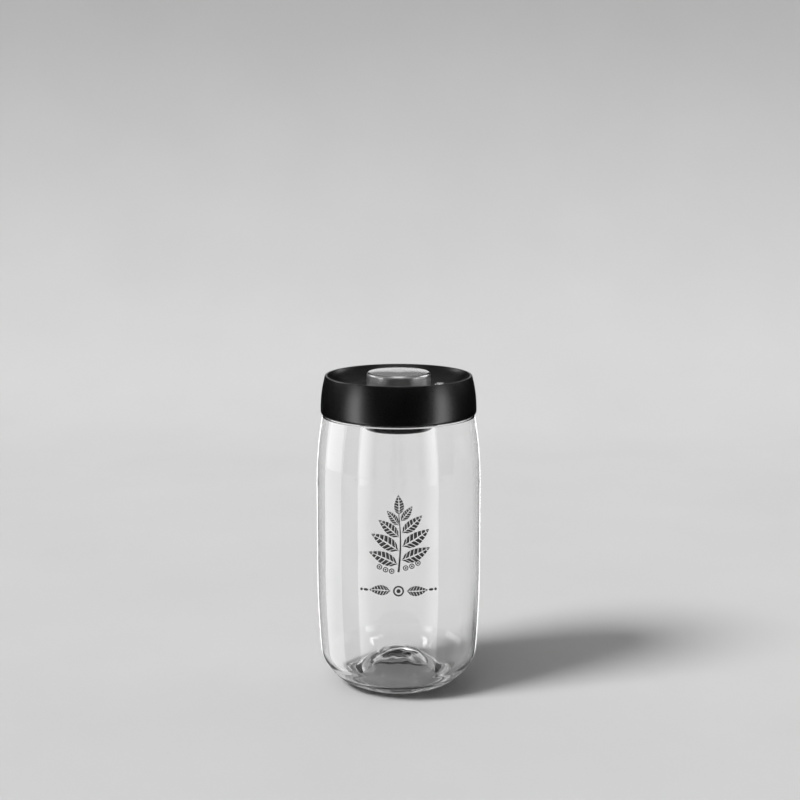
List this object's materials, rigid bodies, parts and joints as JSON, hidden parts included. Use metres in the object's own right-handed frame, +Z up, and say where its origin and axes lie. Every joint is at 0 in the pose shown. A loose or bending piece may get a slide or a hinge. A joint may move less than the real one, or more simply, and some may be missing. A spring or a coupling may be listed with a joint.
{
  "type": "vacuum canister",
  "caption": "Tall clear glass canister with a pushed-up base, closed by a dished black lid with a brushed steel pump button and a small silver air release button.",
  "frame": {"origin": "centre of the foot ring, on the surface that the jar stands on", "axes": "+Z up along the axis of the jar; -Y is the front; +X is towards the release button"},
  "size_m": [0.104, 0.104, 0.2028],
  "materials": {
    "clear_glass": "clear polished",
    "black_satin": "satin moulded",
    "black_inner": "satin moulded",
    "seal_silicone": "matt silicone",
    "seal_rubber": "matt rubber",
    "screw_steel": "zinc plated",
    "spring_steel": "bright drawn wire",
    "cap_steel": "fine brushed",
    "pad_foam": "foam adhesive",
    "grey_plastic": "moulded",
    "release_silver": "satin plated"
  },
  "bodies": {
    "jar": {"glass_jar": "clear_glass"},
    "lid": {"lid_cover": "black_satin", "inner_lid": "black_inner", "neck_gasket": "seal_silicone", "lid_screws": "screw_steel", "pump_barrel": "black_inner", "barrel_o_ring": "seal_rubber", "intake_strainer": "black_inner", "pump_spring": "spring_steel", "release_spring": "spring_steel"},
    "pump": {"pump_cap": "cap_steel", "cap_pad": "pad_foam", "cap_core": "grey_plastic", "piston": "grey_plastic", "piston_seal": "seal_rubber"},
    "release": {"release_button": "release_silver", "release_stem": "grey_plastic", "release_seal": "seal_silicone"},
    "intake_flap": {"intake_valve": "seal_silicone"},
    "exhaust_flap": {"exhaust_valve": "seal_silicone"}
  },
  "joints": [
    {"name": "lid_lift", "type": "slide", "parent": "jar", "child": "lid", "axis": [0, 0, 1], "range_m": [0, 0.12]},
    {"name": "pump_press", "type": "slide", "parent": "lid", "child": "pump", "axis": [0, 0, -1], "range_m": [0, 0.009], "stiffness_N_per_m": 1200, "springref_m": -0.008, "deforming": ["pump_spring"]},
    {"name": "release_press", "type": "slide", "parent": "lid", "child": "release", "axis": [0, 0, -1], "range_m": [0, 0.002], "stiffness_N_per_m": 600, "springref_m": -0.004, "deforming": ["release_spring"]},
    {"name": "intake_lift", "type": "slide", "parent": "lid", "child": "intake_flap", "axis": [0, 0, 1], "range_m": [0, 0.0008]},
    {"name": "exhaust_lift", "type": "slide", "parent": "pump", "child": "exhaust_flap", "axis": [0, 0, 1], "range_m": [0, 0.0008]}
  ]
}
